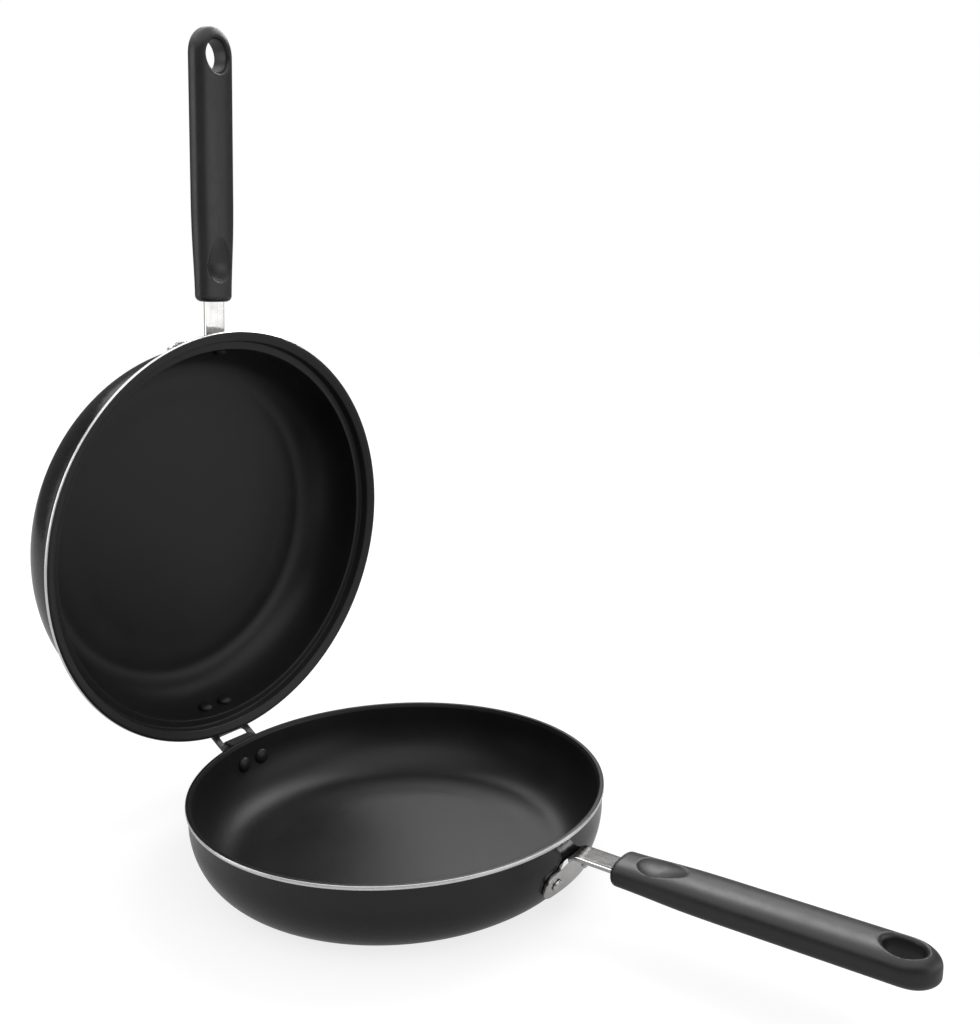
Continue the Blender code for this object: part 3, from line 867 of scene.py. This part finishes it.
def hinge_hook_path():
    """Side view of the lower hinge plate: up the wall, out and round the pivot bar."""
    centre_x, centre_z = hinge_reach, -hinge_drop
    curl = pivot_bar_radius + pivot_clearance + hook_thickness / 2
    clear = gap + hook_thickness / 2
    foot = lower_hinge_rivet_drop + hook_base_foot
    shoulder_z = hook_shoulder_z()
    shoulder_drop = hook_bend_radius - shoulder_z
    wall_rows, bend_rows, curl_rows = 10, 8, 36
    path = []
    for row in range(wall_rows + 1):
        drop = foot + (shoulder_drop - foot) * row / wall_rows
        lean = lower.lean(drop)
        in_corner = 1 - smooth_step((foot - drop) / hook_base_corner)
        half_width = hook_base_half_width - hook_base_corner * in_corner ** 2
        reach = lower.outer_radius(drop) + clear * math.cos(lean)
        path.append((reach, -drop - clear * math.sin(lean), half_width, 1, -hook_base_aside))
    for row in range(1, bend_rows + 1):
        angle = math.pi / 2 * row / bend_rows
        left = 1 - row / bend_rows
        reach = lower.wall_radius + clear + hook_bend_radius * (1 - math.cos(angle))
        z = shoulder_z - hook_bend_radius * (1 - math.sin(angle))
        half_width = hinge_plate_half_width + (hook_base_half_width - hinge_plate_half_width) * left
        path.append((reach, z, half_width, left, -hook_base_aside * left))
    shoulder = centre_x - hook_shoulder_reach
    path.append((shoulder, shoulder_z, hinge_plate_half_width, 0))
    path.append((shoulder + edge_round, shoulder_z, hook_half_width, 0))
    for row in range(curl_rows + 1):
        angle = math.pi / 2 - hook_curl_sweep * row / curl_rows
        place = centre_x + curl * math.cos(angle), centre_z + curl * math.sin(angle)
        path.append((*place, hook_half_width, 0))
    return path


def opposite(path):
    """Turns a path of rows from the handle side to the hinge side."""
    return [(-reach, z, half_width, -hug, *aside) for reach, z, half_width, hug, *aside in path]


def make_hinge_hook(place, body):
    """The hook plate, which wraps the pivot bar of the upper plate."""

    def shape(bm):
        bent_strip(bm, opposite(hinge_hook_path()), plate_columns, lower.wall_radius)

    item = new_object("hook_plate", shape, place)
    thicken(item, hook_thickness)
    soften_edges(item, hinge_plate_edge_round)
    dress(item, ["lower_hinge_hook"], body, (hinge_steel,))


def heel_angle():
    """Closed-pose angle of the heel, which meets the hook's shoulders from below when open."""
    shoulder_underside = hook_shoulder_z() - hook_thickness / 2 + hinge_drop
    rise = shoulder_underside - gap - loop_thickness / 2
    return math.asin(rise / loop_heel_length) - open_angle


def loop_pivot():
    """Place of the hinge axis in the upper pan's frame, as reach and z."""
    return hinge_reach, hinge_drop - ledge_depth + gap


def loop_point(angle, length):
    """Point at a closed-pose angle and length from the hinge axis, in the upper pan's frame."""
    reach, z = loop_pivot()
    return reach - length * math.cos(angle), z - length * math.sin(angle)


def hinge_loop_path():
    """Side view of the upper hinge plate: heel, pivot bar, strap past the collar, and base."""
    bends = [(heel_angle(), loop_heel_length * share) for share in (1, 0.75, 0.5, 0.25)]
    strap_shares = (0, 0.2, 0.4, 0.6, 0.8, 1)
    bends += [(loop_strap_angle, loop_strap_length * share) for share in strap_shares]
    path = [(*loop_point(*bend), hinge_plate_half_width, 0) for bend in bends]
    stand = gap + loop_thickness / 2
    rows = 8
    for row in range(rows + 1):
        drop = loop_base_top + loop_base_length * row / rows
        lean = upper.lean(drop)
        reach = upper.outer_radius(drop) + stand * math.cos(lean)
        left = loop_base_length * (1 - row / rows)
        in_corner = 1 - smooth_step(left / loop_base_corner)
        half_width = hinge_plate_half_width - loop_base_corner * in_corner ** 2
        path.append((reach, -drop - stand * math.sin(lean), half_width, 1))
    return path


def stadium(bm, length, half_width, half_height, start):
    """A block with rounded corners across Y that reaches along X from start."""
    end_round = min(length / 2 * 0.75, window_corner)

    def ring(level):
        def point(angle):
            x_sign, y_sign = math.copysign(1, math.cos(angle)), math.copysign(1, math.sin(angle))
            x = (length / 2 - end_round) * x_sign + end_round * math.cos(angle)
            y = (half_width - end_round) * y_sign + end_round * math.sin(angle)
            return Vector((start + length / 2 + x, y, level))

        return point

    loft(bm, [ring(-half_height), ring(half_height)], window_steps)


def make_hinge_loop(place, body):
    """The loop plate, whose window holds the hook and whose crossbar is the pivot."""

    def shape(bm):
        bent_strip(bm, opposite(hinge_loop_path()), plate_columns, upper.wall_radius)

    item = new_object("loop_plate", shape, place)
    thicken(item, loop_thickness)
    reach, z = loop_pivot()
    pivot = place @ Matrix.Translation((-reach, 0, z))
    half_opening = hook_half_width + window_side_clearance
    start = pivot_bar_radius * 0.6

    def window(bm):
        stadium(bm, window_length, half_opening, overrun, start)

    def notch(bm):
        stadium(bm, loop_heel_length + overrun, half_opening, overrun, start)

    strap_turn = Matrix.Rotation(loop_strap_angle, 4, "Y")
    heel_turn = Matrix.Rotation(heel_angle(), 4, "Y")
    combine(item, [
        new_object("window", window, pivot @ strap_turn),
        new_object("notch", notch, pivot @ heel_turn),
    ])
    soften_edges(item, hinge_plate_edge_round)

    def bar(bm):
        half = hinge_plate_half_width - edge_round
        outline = [
            (0, -half),
            (pivot_bar_radius - edge_round, -half),
            (pivot_bar_radius, -half + edge_round),
            (pivot_bar_radius, half - edge_round),
            (pivot_bar_radius - edge_round, half),
            (0, half),
        ]
        turned(bm, outline, bar_steps)

    across = Matrix.Rotation(math.pi / 2, 4, "X")
    combine(item, [new_object("pivot_bar", bar, pivot @ across)], "UNION")
    dress(item, ["upper_hinge_loop"], body, (hinge_steel,))


# Handle brackets


def bracket_path(pan, shift, tilt):
    """Side view of a bracket in its handle's frame: up the wall, round the bend, to the tang."""
    stand = gap + bracket_thickness / 2
    path = []
    for rise_share, width_share in finer(ear_outline_shares):
        drop = ear_bottom_drop - (ear_bottom_drop - ear_top_drop) * rise_share
        lean = pan.lean(drop + shift)
        reach = pan.outer_radius(drop + shift) + stand * math.cos(lean)
        path.append((reach, -drop - stand * math.sin(lean), ear_half_width * width_share, 1))
    start = path[-1]
    centre_x = start[0] + strap_bend_radius
    centre_z = -strap_drop - bracket_thickness / 2 - strap_bend_radius
    rows = 16
    for row in range(rows + 1):
        share = row / rows
        angle = math.pi - (math.pi / 2 + strap_slope) * share
        reach = centre_x + strap_bend_radius * math.cos(angle)
        z = centre_z + strap_bend_radius * math.sin(angle)
        half_width = start[2] + (strap_half_width - start[2]) * smooth_step(share * 2)
        path.append((reach, z, half_width, 1 - share))
    for share in (-gap / tang_length, 0.5, 1):
        along = tang_length * share
        place = grip_root_reach + along * math.cos(tilt), -tang_drop - along * math.sin(tilt)
        path.append((*place, strap_half_width, 0))
    return path


def screw_seat():
    """Height of the face that a screw's washer bears on, in the handle's frame."""
    underside = -grip_drop(screw_from_root) - grip_size(screw_from_root)[1]
    return underside + screw_pocket_depth


def screw_tip():
    """Height of a screw's tip, a little past the tang, in the handle's frame."""
    return -tang_drop + bracket_thickness / 2 + screw_tip_above_tang


def screw_place(place):
    """A screw's place on its handle."""
    return place @ Matrix.Translation((grip_root_reach + screw_from_root, 0, 0))


def screw_pocket(bm):
    """Cutter of the screw's pocket and of its bore, up past the tang."""
    seat = screw_seat()
    bottom = seat - screw_pocket_depth - overrun
    top = screw_tip() + gap
    outline = [
        (0, bottom),
        (screw_pocket_radius, bottom),
        (screw_pocket_radius, seat),
        (screw_shank_radius + gap, seat),
        (screw_shank_radius + gap, top),
        (0, top),
    ]
    turned(bm, outline, rivet_steps)


def tilted(place, tilt):
    """A handle's place turned down about the middle of its tang's root."""
    root = Matrix.Translation((grip_root_reach, 0, -tang_drop))
    return place @ root @ Matrix.Rotation(tilt, 4, "Y") @ root.inverted()


def make_bracket(name, pan, place, shift, tilt, body):
    """A handle bracket: an ear plate curved to the wall and a strap that ends in the grip."""

    def shape(bm):
        bent_strip(bm, bracket_path(pan, shift, tilt), plate_columns, pan.wall_radius)

    item = new_object(name + "_plate", shape, place)
    thicken(item, bracket_thickness)
    soften_edges(item, bracket_edge_round)
    combine(item, [new_object("screw_bore", screw_pocket, screw_place(tilted(place, tilt)))])
    dress(item, [name], body, (steel,))


# Grips


def grip_size(along):
    """Half width and half thickness of a grip at a distance from its root, its ends square."""
    share = along / grip_length
    widen = smooth_step(share / grip_widen_share)
    thicken_share = smooth_step(share / grip_thicken_share)
    half_width = grip_root_half_width + (grip_half_width - grip_root_half_width) * widen
    extra = (grip_half_thickness - grip_root_half_thickness) * thicken_share
    return half_width, grip_root_half_thickness + extra


def grip_drop(along):
    """Drop of the grip's middle below the rim at a distance from its root."""
    return grip_root_drop + (grip_tip_drop - grip_root_drop) * along / grip_length


def grip_section(along):
    """Half width and half thickness of a grip at a distance from its root, its ends rounded."""
    half_width, half_thickness = grip_size(along)
    if along < grip_root_round:
        trim = grip_root_round * (1 - math.sqrt(1 - (1 - along / grip_root_round) ** 2))
        return half_width - trim, half_thickness - trim
    tip_reach = grip_tip_reach - grip_tip_trim
    past = (along - grip_length + grip_tip_reach) / tip_reach
    if past > 0:
        half_width *= math.sqrt(1 - past ** 2)
        closeness = 1 - min((1 - past) * tip_reach / grip_tip_round, 1.0)
        bulge = math.sqrt(1 - closeness ** 2)
        half_thickness *= grip_tip_edge_share + (1 - grip_tip_edge_share) * bulge
    return half_width, half_thickness


def grip_stations():
    """Distances of a grip's sections from its root, close together where it turns sharply."""
    root_rows, tip_rows = 8, 26
    stations = []
    for row in range(root_rows + 1):
        stations.append(grip_root_round * (1 - math.cos(math.pi / 2 * row / root_rows)))
    tip_start = grip_length - grip_tip_reach
    scoop_end = scoop_from_root + scoop_length + 0.003
    while stations[-1] < tip_start - 0.001:
        spacing = scoop_spacing if stations[-1] < scoop_end else grip_spacing
        stations.append(min(stations[-1] + spacing, tip_start))
    tip_reach = grip_tip_reach - grip_tip_trim
    for row in range(1, tip_rows):
        stations.append(tip_start + tip_reach * math.sin(math.pi / 2 * row / tip_rows))
    return stations


def scoop_bottom(along, across):
    """Height of the thumb scoop's surface over the grip's middle, or None outside it."""
    share = (along - scoop_from_root) / scoop_length
    if not -0.05 < share < 1.15:
        return None
    if share < scoop_widest_share:
        width_share = math.sqrt(max(1 - (1 - share / scoop_widest_share) ** 2, 0.02))
    else:
        past = min((share - scoop_widest_share) / (1 - scoop_widest_share), 1.0)
        width_share = math.cos(math.pi / 2 * past) * (1 - scoop_end_width_share)
        width_share += scoop_end_width_share
    if share < scoop_deepest_share:
        slope = math.sin(math.pi / 2 * max(share, 0.0) / scoop_deepest_share)
        depth_share = slope ** 0.85 + min(share, 0.0) * 8
    else:
        past = (share - scoop_deepest_share) / (1 - scoop_deepest_share)
        depth_share = 1 - scoop_run_out * past ** 1.4
    half_width = scoop_half_width * width_share
    if abs(across) >= half_width:
        return None
    hollow = (scoop_above + scoop_depth * depth_share) * math.sqrt(1 - (across / half_width) ** 2)
    return grip_size(along)[1] + scoop_above - hollow


def gentle_min(first, second, reach):
    """The smaller of two heights, eased where they are within reach of each other."""
    share = min(max(0.5 + (second - first) / (2 * reach), 0.0), 1.0)
    return second + (first - second) * share - reach * share * (1 - share)


def grip_shape(bm):
    """The moulded grip with its thumb scoop."""
    rings = []
    for along in grip_stations():

        def point(angle, along=along, section=grip_section(along)):
            power = 2 / grip_section_power
            cosine, sine = math.cos(angle), math.sin(angle)
            across = section[0] * math.copysign(abs(cosine) ** power, cosine)
            height = section[1] * math.copysign(abs(sine) ** power, sine)
            scoop = scoop_bottom(along, across) if height > 0 else None
            if scoop is not None:
                height = gentle_min(height, scoop, scoop_edge_round)
            return Vector((grip_root_reach + along, across, height - grip_drop(along)))

        rings.append(point)
    loft(bm, rings, grip_steps)


def hang_hole(bm):
    """Cutter of the hang hole, an oval whose rims are rounded where it meets the surface."""
    centre = grip_length - hang_hole_from_tip
    middle = -grip_drop(centre)
    rim_rows = 6
    rows = [(overrun, hang_hole_rim)]
    for row in range(rim_rows + 1):
        angle = math.pi / 2 * row / rim_rows
        rows.append((-hang_hole_rim * (1 - math.cos(angle)), hang_hole_rim * (1 - math.sin(angle))))
    sides = [(1, *row) for row in rows] + [(-1, *row) for row in reversed(rows)]
    rings = []
    for side, rise, spread in sides:

        def ring(angle, side=side, rise=rise, spread=spread):
            along = centre + (hang_hole_half_length + hang_hole_rim / 2) * math.cos(angle)
            across = (hang_hole_half_width + hang_hole_rim / 2) * math.sin(angle)
            half_width, half_thickness = grip_section(along)
            flatness = 1 - (abs(across) / half_width) ** grip_section_power
            surface = half_thickness * flatness ** (1 / grip_section_power)
            x = grip_root_reach + centre + (hang_hole_half_length + spread) * math.cos(angle)
            y = (hang_hole_half_width + spread) * math.sin(angle)
            return Vector((x, y, middle + side * (surface + rise)))

        rings.append(ring)
    loft(bm, rings, hang_hole_steps)


def block(bm, size, place):
    """A block of a size along each axis, used as a cutter."""
    bmesh.ops.create_cube(bm, size=1, matrix=place @ Matrix.Diagonal((*size, 1)))


def socket_hole(bm):
    """Cutter of the socket that takes the tang."""
    depth = tang_length + gap
    size = (depth + overrun, 2 * (strap_half_width + gap), bracket_thickness + 2 * gap)
    block(bm, size, Matrix.Translation((grip_root_reach + (depth - overrun) / 2, 0, -tang_drop)))


def make_grip(prefix, place, body):
    """A grip with its hang hole, socket and screw pocket."""
    item = new_object(prefix + "_grip", grip_shape, place)
    combine(item, [
        new_object("hang_hole", hang_hole, place),
        new_object("socket", socket_hole, place),
        new_object("screw_pocket", screw_pocket, screw_place(place)),
    ])
    finishes = (moulding,)
    dress(item, [prefix + "_handle_grip"], body, finishes, angle=math.radians(48.0))


def make_screw(prefix, place, body):
    """A pan head screw with a cross recess."""
    under_head = screw_seat() - washer_thickness - 2 * gap
    tip = screw_tip()

    def shape(bm):
        head = dome(screw_head_radius, screw_head_height * screw_head_dome_share)
        dome_base = under_head - screw_head_height * (1 - screw_head_dome_share)
        outline = [(radius, dome_base - z) for radius, z in head]
        outline += [
            (screw_head_radius, under_head),
            (screw_shank_radius, under_head),
            (screw_shank_radius, tip - edge_round),
            (screw_shank_radius - edge_round, tip),
            (0, tip),
        ]
        turned(bm, outline, rivet_steps)

    def recess_arm(turn):
        def arm(bm):
            height = Matrix.Translation((0, 0, under_head - screw_head_height * 1.02))
            size = (recess_length, recess_width, screw_head_height)
            block(bm, size, height @ Matrix.Rotation(turn, 4, "Z"))

        return arm

    at_screw = screw_place(place)
    item = new_object(prefix + "_screw", shape, at_screw)
    turns = (recess_turn, recess_turn + math.pi / 2)
    combine(item, [new_object("recess", recess_arm(turn), at_screw) for turn in turns])
    dress(item, [prefix + "_handle_screw"], body, (plated,))


def make_washer(prefix, place, body):
    """The spring washer under a screw's head, cut through at a slant."""
    top = screw_seat() - gap
    bottom = top - washer_thickness
    middle_radius = (washer_hole_radius + washer_radius) / 2

    def shape(bm):
        outline = [
            (middle_radius, bottom),
            (washer_radius, bottom),
            (washer_radius, top),
            (washer_hole_radius, top),
            (washer_hole_radius, bottom),
            (middle_radius, bottom),
        ]
        turned(bm, soften(outline, washer_edge_round, 2), rivet_steps)

    def split(bm):
        middle = Matrix.Translation((washer_radius * 0.75, 0, top - washer_thickness / 2))
        size = (washer_radius, washer_split_width, washer_thickness * 3)
        block(bm, size, middle @ Matrix.Rotation(washer_split_turn, 4, "X"))

    at_screw = screw_place(place)
    item = new_object(prefix + "_spring_washer", shape, at_screw)
    combine(item, [new_object("washer_split", split, at_screw)])
    dress(item, [prefix + "_handle_lock_washer"], body, (plated,))


# The object

lower = Pan(lower_height, lower_base_radius, lower_wall_radius, lower_corner_rise)
upper = Pan(upper_height, upper_base_radius, upper_wall_radius, upper_corner_rise)
lower_place = Matrix.Translation((0, 0, lower_height))
hinge_place = Matrix.Translation((-hinge_reach, 0, lower_height - hinge_drop))
opened = Matrix.Rotation(-open_angle, 4, "Y")
upper_shift = Matrix.Translation((hinge_reach, 0, hinge_drop - ledge_depth + gap))
upper_place = hinge_place @ opened @ upper_shift @ Matrix.Rotation(math.pi, 4, "X")
half_turn = Matrix.Rotation(math.pi, 4, "Z")

coat = nonstick_coating()
enamel = black_enamel()
bare_edge = turned_edge()
underside = turned_base()
steel = pressed_steel()
hinge_steel = dark_hinge_steel()
moulding = phenolic()
plated = plated_steel()

hinge_rivet_sizes = (
    hinge_shank_radius,
    (hinge_head_radius, hinge_head_rise),
    (hinge_tail_radius, hinge_tail_rise),
)
ear_rivet_sizes = (
    bracket_shank_radius,
    (bracket_head_radius, bracket_head_rise),
    (bracket_tail_radius, bracket_tail_rise),
)


def make_hinge_rivets(prefix, pan, place, plate, aside, drop):
    """The pair of rivets that hold a hinge plate."""
    names = (prefix + "_hinge_rivet_left", prefix + "_hinge_rivet_right")
    offsets = (aside - hinge_rivet_half_spacing, aside + hinge_rivet_half_spacing)
    behind = place @ half_turn
    make_rivets(
        pan, names, offsets, drop, plate, hinge_rivet_sizes, behind, prefix, dome,
        (coat, hinge_steel),
    )


def make_handle(prefix, pan, place, shift, tilt):
    """A handle: bracket with its two rivets, grip, screw and washer."""
    names = (prefix + "_bracket_rivet_right", prefix + "_bracket_rivet_left")
    offsets = (-ear_rivet_half_spacing, ear_rivet_half_spacing)
    make_rivets(
        pan, names, offsets, ear_rivet_drop + shift, bracket_thickness, ear_rivet_sizes, place,
        prefix, set_tail, (coat, steel),
    )
    handle_place = place @ Matrix.Translation((0, 0, -shift))
    make_bracket(prefix + "_handle_bracket", pan, handle_place, shift, tilt, prefix)
    grip_place = tilted(handle_place, tilt)
    make_grip(prefix, grip_place, prefix)
    make_screw(prefix, grip_place, prefix)
    make_washer(prefix, grip_place, prefix)


make_pan("lower_pan", lower_pan_outline(), lower, lower_rim_radius, lower_place, "lower")
make_pan("upper_pan", upper_pan_outline(), upper, upper_rim_radius, upper_place, "upper")
make_hinge_hook(lower_place, "lower")
make_hinge_loop(upper_place, "upper")
make_hinge_rivets(
    "lower", lower, lower_place, hook_thickness, lower_hinge_rivet_aside, lower_hinge_rivet_drop
)
make_handle("lower", lower, lower_place, 0.0, 0.0)
make_hinge_rivets("upper", upper, upper_place, loop_thickness, 0.0, upper_hinge_rivet_drop)
make_handle("upper", upper, upper_place, upper_handle_shift, upper_handle_tilt)

# Floor, light and camera

floor_radius = 6.0
floor_colour = (0.24, 0.24, 0.24, 1)
floor_near, floor_far = 0.5, 1.6
floor_near_glow = 0.80
floor_mirror = 0.35
world_fill = 0.16
world_mirror = 0.12
white = (1, 1, 1, 1)
softboxes = (
    ("back_softbox", 34.0, (2.2, 1.0), (-0.45, 1.35, 1.65), (0.0, 0.0, 0.10)),
    ("overhead_softbox", 27.0, (3.1, 2.4), (-0.05, -0.05, 1.40), (0.0, 0.0, 0.05)),
    ("right_softbox", 5.4, (1.6, 0.9), (1.35, 0.45, 0.40), (-0.13, 0.0, 0.30)),
    ("left_softbox", 3.5, (0.6, 1.0), (-1.05, -1.00, 0.60), (-0.1, 0.0, 0.15)),
)
camera_place = (0.385266, -0.436993, 0.312123)
camera_turn = (1.381283, 0.018918, 0.621018)
camera_lens = 38.949


def seen_directly(made, paths):
    """Socket that is 1 for rays from the camera and for those that pass through glass."""
    return calculate(made, "MAXIMUM", paths["Is Camera Ray"], paths["Is Transmission Ray"])


def make_floor():
    """A plain pale floor that keeps a soft shadow."""

    def shape(bm):
        bmesh.ops.create_circle(bm, cap_ends=True, segments=96, radius=floor_radius)

    item = new_object("studio_floor", shape, Matrix.Identity(4))
    made, shader = new_material("pale_floor")
    shader.inputs["Base Color"].default_value = floor_colour
    shader.inputs["Roughness"].default_value = 0.9
    shader.inputs["Specular IOR Level"].default_value = 0.0
    shader.inputs["Emission Color"].default_value = white
    distance = distance_from_middle(made, object_place(made))
    glow = remap(made, distance, floor_near, floor_far, floor_near_glow, 1.0)
    paths = add_node(made, "ShaderNodeLightPath").outputs
    mirrored = calculate(made, "MULTIPLY", paths["Is Glossy Ray"], floor_mirror)
    seen = calculate(made, "MAXIMUM", seen_directly(made, paths), mirrored)
    strength = calculate(made, "MULTIPLY", seen, glow)
    feed(made, shader.inputs["Emission Strength"], strength)
    item.data.materials.append(made)


def make_world():
    """A backdrop that is white to the camera, dim in reflections and an even fill otherwise."""
    world = bpy.data.worlds.new("studio")
    bpy.context.scene.world = world
    world.use_nodes = True
    background = world.node_tree.nodes["Background"]
    paths = add_node(world, "ShaderNodeLightPath").outputs
    glossy = paths["Is Glossy Ray"]
    lit = calculate(world, "MULTIPLY_ADD", glossy, world_mirror - world_fill, world_fill)
    strength = calculate(world, "MAXIMUM", lit, seen_directly(world, paths))
    feed(world, background.inputs["Strength"], strength)
    background.inputs["Color"].default_value = white


def make_lamp(name, power, size, place, target):
    """A soft rectangular lamp aimed at a target."""
    data = bpy.data.lights.new(name, "AREA")
    data.energy = power
    data.shape = "RECTANGLE"
    data.size, data.size_y = size
    lamp = bpy.data.objects.new(name, data)
    bpy.context.scene.collection.objects.link(lamp)
    lamp.location = place
    aim = Vector(target) - Vector(place)
    lamp.rotation_euler = aim.to_track_quat("-Z", "Y").to_euler()


def make_camera():
    """The camera at the photograph's viewpoint, for an image of 980 by 1024."""
    data = bpy.data.cameras.new("photo_camera")
    camera = bpy.data.objects.new("photo_camera", data)
    bpy.context.scene.collection.objects.link(camera)
    data.sensor_fit = "HORIZONTAL"
    data.sensor_width = 36.0
    data.lens = camera_lens
    data.clip_start = 0.02
    data.clip_end = 50.0
    camera.location = camera_place
    camera.rotation_euler = camera_turn
    bpy.context.scene.camera = camera


make_floor()
make_world()
for softbox in softboxes:
    make_lamp(*softbox)
make_camera()
bpy.context.scene.view_settings.view_transform = "Standard"
